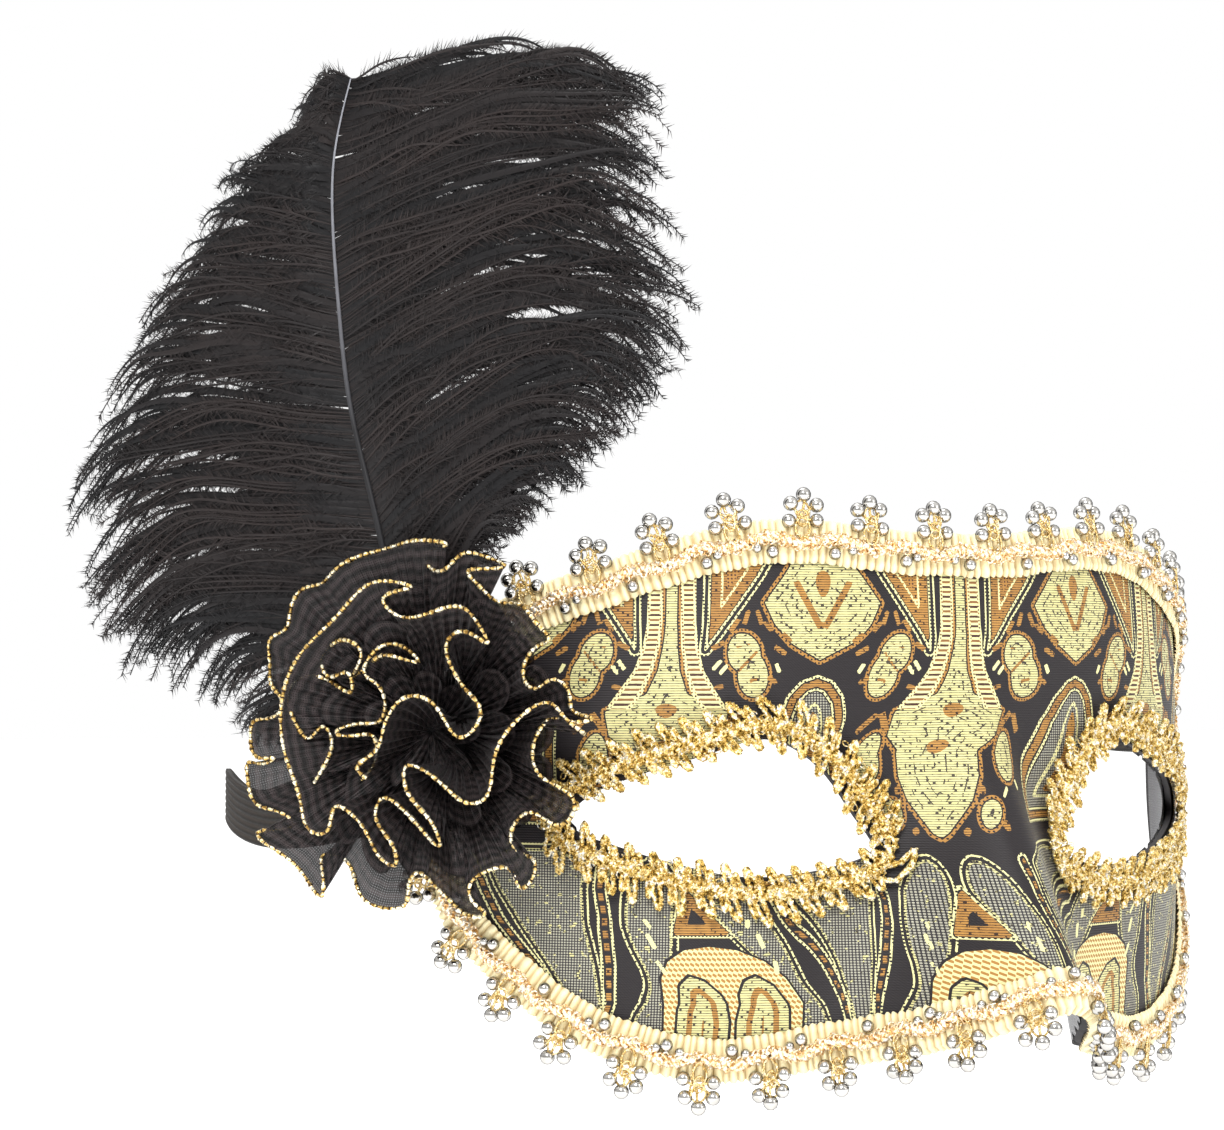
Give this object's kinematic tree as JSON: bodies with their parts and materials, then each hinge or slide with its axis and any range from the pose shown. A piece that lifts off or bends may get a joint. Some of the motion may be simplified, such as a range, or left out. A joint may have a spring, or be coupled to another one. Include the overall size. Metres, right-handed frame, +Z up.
{
  "type": "venetian masquerade mask",
  "caption": "Half-face masquerade mask in brocade with beaded edging, gold eye braid, an organza rosette and ostrich plume at one temple, and an elastic head strap.",
  "frame": {"origin": "middle of the brow line between the eyes, on the shell's outer face", "axes": "+X to the right of a person facing the mask, +Y into the wearer's head, +Z up"},
  "size_m": [0.2154, 0.2105, 0.1866],
  "materials": {
    "shell": "matte moulded half mask",
    "brocade": "woven jacquard, dark aubergine ground with pale gold and copper weft",
    "lining": "brushed black flock lining",
    "gimp": "cream gimp braid with crosswise ribs",
    "gilt_cord": "pale gold metallic cord",
    "silver_bead": "silvered round beads",
    "gold_braid": "looped gold metallic braid",
    "felt": "black felt",
    "organza": "sheer black organza ribbon",
    "quill": "dyed horn quill",
    "plume": "dyed black ostrich barbs",
    "thread": "waxed black thread",
    "elastic": "ribbed black elastic",
    "rivet_steel": "satin"
  },
  "bodies": {
    "root": {"mask_shell": "shell", "brocade_cover": "brocade", "inner_lining": "lining", "edge_braid_upper": "gimp", "edge_braid_lower": "gimp", "edge_cord_upper": "gilt_cord", "edge_cord_lower": "gilt_cord", "bead_clusters_upper": "silver_bead", "bead_clusters_lower": "silver_bead", "eye_braid_left": "gold_braid", "eye_braid_right": "gold_braid", "rosette_pad": "felt", "rosette_backing": "felt", "rosette_ruffle_outer": "organza", "rosette_ruffle_middle": "organza", "rosette_ruffle_inner": "organza", "rosette_edge_outer": "gilt_cord", "rosette_edge_middle": "gilt_cord", "rosette_edge_inner": "gilt_cord", "strap_end_left": "elastic", "strap_end_right": "elastic", "strap_patch_left": "felt", "strap_patch_right": "felt", "strap_rivet_left": "rivet_steel", "strap_rivet_right": "rivet_steel"},
    "plume": {"plume_quill": "quill", "plume_vane_left": "plume", "plume_vane_right": "plume", "plume_binding": "thread"},
    "strap": {"elastic_strap": "elastic"}
  },
  "joints": [
    {"name": "strap_swing", "type": "hinge", "parent": "root", "child": "strap", "pos_m": [0, 0.0626, 0.00675], "axis": [0.9966, 0, 0.0829], "range_deg": [-50, 40], "stiffness_Nm_per_rad": 0.08},
    {"name": "plume_sway", "type": "hinge", "parent": "root", "child": "plume", "pos_m": [-0.08444, 0.04148, 0.005], "axis": [-0.788, -0.6157, 0], "range_deg": [-6, 8], "stiffness_Nm_per_rad": 0.4}
  ]
}
